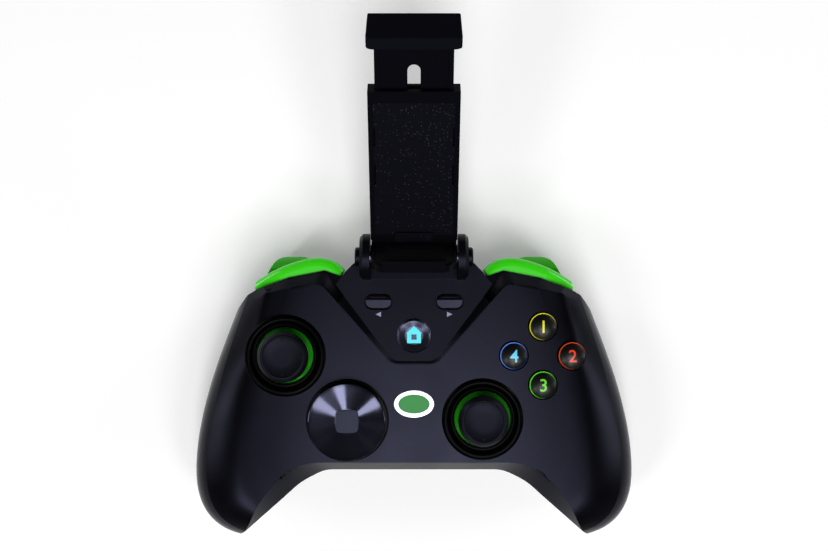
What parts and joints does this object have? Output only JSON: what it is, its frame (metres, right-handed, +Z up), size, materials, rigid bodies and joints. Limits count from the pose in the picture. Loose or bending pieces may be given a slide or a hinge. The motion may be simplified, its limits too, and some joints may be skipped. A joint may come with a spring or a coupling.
{
  "type": "gamepad",
  "caption": "Wireless gamepad with two thumbsticks, a dished direction pad, face buttons, bumpers, triggers and a tilting, extending phone clip behind the face.",
  "frame": {"origin": "on the underside that rests on a table, on the middle plane, 4.5 mm ahead of the rear wall", "axes": "+Z up out of the face, +Y from the player towards the rear and the phone clip, +X to the player's right"},
  "size_m": [0.1552, 0.171, 0.1016],
  "materials": {
    "face_plastic": "fine matte grain",
    "case_plastic": "fine matte grain",
    "panel_plastic": "fine matte grain",
    "badge_metal": "polished",
    "badge_green": "gloss",
    "gloss_black": "gloss",
    "trim_green": "satin",
    "stick_rubber": "matte",
    "mechanism_plastic": "satin",
    "sheet_steel": "brushed",
    "dish_plastic": "turned, glossy",
    "button_plastic": "gloss",
    "membrane_rubber": "matte",
    "small_button": "satin",
    "home_plastic": "gloss",
    "bumper_green": "gloss",
    "trigger_green": "gloss",
    "pin_steel": "brushed",
    "board_green": "solder mask",
    "battery_foil": "foil",
    "weight_steel": "cast",
    "clip_plastic": "fine matte grain",
    "clip_face": "matte, speckled",
    "pad_rubber": "matte"
  },
  "bodies": {
    "casing": {"top_shell": "face_plastic", "rear_shell": "case_plastic", "centre_panel": "panel_plastic", "badge_frame": "badge_metal", "badge_inlay": "badge_green", "left_stick_collar": "gloss_black", "right_stick_collar": "gloss_black", "left_stick_trim": "trim_green", "right_stick_trim": "trim_green", "left_stick_module": "sheet_steel", "right_stick_module": "sheet_steel", "dpad_ring": "gloss_black", "dpad_post": "mechanism_plastic", "button_membrane": "membrane_rubber", "centre_switches": "sheet_steel", "left_trigger_pin": "pin_steel", "right_trigger_pin": "pin_steel", "main_board": "board_green", "battery": "battery_foil", "left_rumble_motor": "sheet_steel", "right_rumble_motor": "sheet_steel", "usb_port": "sheet_steel", "shell_screws": "pin_steel", "clip_base": "clip_plastic", "clip_hinge_bolt": "pin_steel", "clip_knobs": "clip_plastic", "clip_base_screws": "pin_steel"},
    "left_stick_slide": {"left_stick_carrier": "mechanism_plastic"},
    "left_stick_cross": {"left_stick_gimbal": "mechanism_plastic"},
    "left_stick": {"left_stick_stem": "mechanism_plastic", "left_stick_cap": "stick_rubber"},
    "right_stick_slide": {"right_stick_carrier": "mechanism_plastic"},
    "right_stick_cross": {"right_stick_gimbal": "mechanism_plastic"},
    "right_stick": {"right_stick_stem": "mechanism_plastic", "right_stick_cap": "stick_rubber"},
    "dpad_cross": {"dpad_gimbal": "mechanism_plastic"},
    "dpad": {"dpad_disc": "dish_plastic"},
    "button_top_key": {"button_top": "button_plastic"},
    "button_right_key": {"button_right": "button_plastic"},
    "button_bottom_key": {"button_bottom": "button_plastic"},
    "button_left_key": {"button_left": "button_plastic"},
    "back_key": {"back_button": "small_button"},
    "start_key": {"start_button": "small_button"},
    "home_key": {"home_button": "home_plastic"},
    "left_bumper_lever": {"left_bumper": "bumper_green"},
    "left_trigger_lever": {"left_trigger": "trigger_green"},
    "left_weight": {"left_rumble_weight": "weight_steel"},
    "right_bumper_lever": {"right_bumper": "bumper_green"},
    "right_trigger_lever": {"right_trigger": "trigger_green"},
    "right_weight": {"right_rumble_weight": "weight_steel"},
    "clip_arm": {"clip_back_plate": "clip_plastic", "clip_front_panel": "clip_face", "clip_lower_jaw": "clip_plastic", "clip_lower_pad": "pad_rubber", "clip_arm_screws": "pin_steel"},
    "clip_extension": {"clip_slider": "clip_plastic", "clip_top_jaw": "clip_plastic", "clip_upper_pad": "pad_rubber"}
  },
  "joints": [
    {"name": "left_stick_click", "type": "slide", "parent": "casing", "child": "left_stick_slide", "axis": [0, 0, 1], "range_m": [-0.0005, 0], "stiffness_N_per_m": 3000, "springref_m": 0.0005},
    {"name": "left_stick_tilt_y", "type": "hinge", "parent": "left_stick_slide", "child": "left_stick_cross", "pos_m": [-0.0442, -0.0275, 0.031], "axis": [1, 0, 0], "range_deg": [-15, 15], "stiffness_Nm_per_rad": 0.03},
    {"name": "left_stick_tilt_x", "type": "hinge", "parent": "left_stick_cross", "child": "left_stick", "pos_m": [-0.0442, -0.0275, 0.031], "axis": [0, 1, 0], "range_deg": [-15, 15], "stiffness_Nm_per_rad": 0.03},
    {"name": "right_stick_click", "type": "slide", "parent": "casing", "child": "right_stick_slide", "axis": [0, 0, 1], "range_m": [-0.0005, 0], "stiffness_N_per_m": 3000, "springref_m": 0.0005},
    {"name": "right_stick_tilt_y", "type": "hinge", "parent": "right_stick_slide", "child": "right_stick_cross", "pos_m": [0.0235, -0.0492, 0.031], "axis": [1, 0, 0], "range_deg": [-15, 15], "stiffness_Nm_per_rad": 0.03},
    {"name": "right_stick_tilt_x", "type": "hinge", "parent": "right_stick_cross", "child": "right_stick", "pos_m": [0.0235, -0.0492, 0.031], "axis": [0, 1, 0], "range_deg": [-15, 15], "stiffness_Nm_per_rad": 0.03},
    {"name": "dpad_tilt_y", "type": "hinge", "parent": "casing", "child": "dpad_cross", "pos_m": [-0.0228, -0.0496, 0.034], "axis": [1, 0, 0], "range_deg": [-3, 3], "stiffness_Nm_per_rad": 0.2},
    {"name": "dpad_tilt_x", "type": "hinge", "parent": "dpad_cross", "child": "dpad", "pos_m": [-0.0228, -0.0496, 0.034], "axis": [0, 1, 0], "range_deg": [-3, 3], "stiffness_Nm_per_rad": 0.2},
    {"name": "press_button_top", "type": "slide", "parent": "casing", "child": "button_top_key", "axis": [0, 0, 1], "range_m": [-0.0012, 0], "stiffness_N_per_m": 400, "springref_m": 0.0008},
    {"name": "press_button_right", "type": "slide", "parent": "casing", "child": "button_right_key", "axis": [0, 0, 1], "range_m": [-0.0012, 0], "stiffness_N_per_m": 400, "springref_m": 0.0008},
    {"name": "press_button_bottom", "type": "slide", "parent": "casing", "child": "button_bottom_key", "axis": [0, 0, 1], "range_m": [-0.0012, 0], "stiffness_N_per_m": 400, "springref_m": 0.0008},
    {"name": "press_button_left", "type": "slide", "parent": "casing", "child": "button_left_key", "axis": [0, 0, 1], "range_m": [-0.0012, 0], "stiffness_N_per_m": 400, "springref_m": 0.0008},
    {"name": "press_back", "type": "slide", "parent": "casing", "child": "back_key", "axis": [0, 0, 1], "range_m": [-0.0007, 0], "stiffness_N_per_m": 800, "springref_m": 0.0006},
    {"name": "press_start", "type": "slide", "parent": "casing", "child": "start_key", "axis": [0, 0, 1], "range_m": [-0.0007, 0], "stiffness_N_per_m": 800, "springref_m": 0.0006},
    {"name": "press_home", "type": "slide", "parent": "casing", "child": "home_key", "axis": [0, 0, 1], "range_m": [-0.0007, 0], "stiffness_N_per_m": 800, "springref_m": 0.0006},
    {"name": "left_bumper_press", "type": "hinge", "parent": "casing", "child": "left_bumper_lever", "pos_m": [-0.0284, -0.001, 0.0275], "axis": [0, 0, 1], "range_deg": [0, 1.6], "stiffness_Nm_per_rad": 0.6, "springref_deg": -1.72},
    {"name": "left_trigger_pull", "type": "hinge", "parent": "casing", "child": "left_trigger_lever", "pos_m": [-0.0436, -0.008, 0.0235], "axis": [-1, 0, 0], "range_deg": [0, 18], "stiffness_Nm_per_rad": 0.15, "springref_deg": -5.73},
    {"name": "left_rumble_spin", "type": "hinge", "parent": "casing", "child": "left_weight", "pos_m": [-0.0585, -0.062, 0.0155], "axis": [0, 1, 0], "continuous": true},
    {"name": "right_bumper_press", "type": "hinge", "parent": "casing", "child": "right_bumper_lever", "pos_m": [0.0284, -0.001, 0.0275], "axis": [0, 0, -1], "range_deg": [0, 1.6], "stiffness_Nm_per_rad": 0.6, "springref_deg": -1.72},
    {"name": "right_trigger_pull", "type": "hinge", "parent": "casing", "child": "right_trigger_lever", "pos_m": [0.0436, -0.008, 0.0235], "axis": [-1, 0, 0], "range_deg": [0, 18], "stiffness_Nm_per_rad": 0.15, "springref_deg": -5.73},
    {"name": "right_rumble_spin", "type": "hinge", "parent": "casing", "child": "right_weight", "pos_m": [0.0585, -0.062, 0.0155], "axis": [0, 1, 0], "continuous": true},
    {"name": "clip_tilt", "type": "hinge", "parent": "casing", "child": "clip_arm", "pos_m": [0, 0.0063, 0.044], "axis": [1, 0, 0], "range_deg": [-34, 76]},
    {"name": "clip_extend", "type": "slide", "parent": "clip_arm", "child": "clip_extension", "axis": [0, 0.829, 0.5592], "range_m": [-0.016, 0.01]}
  ]
}
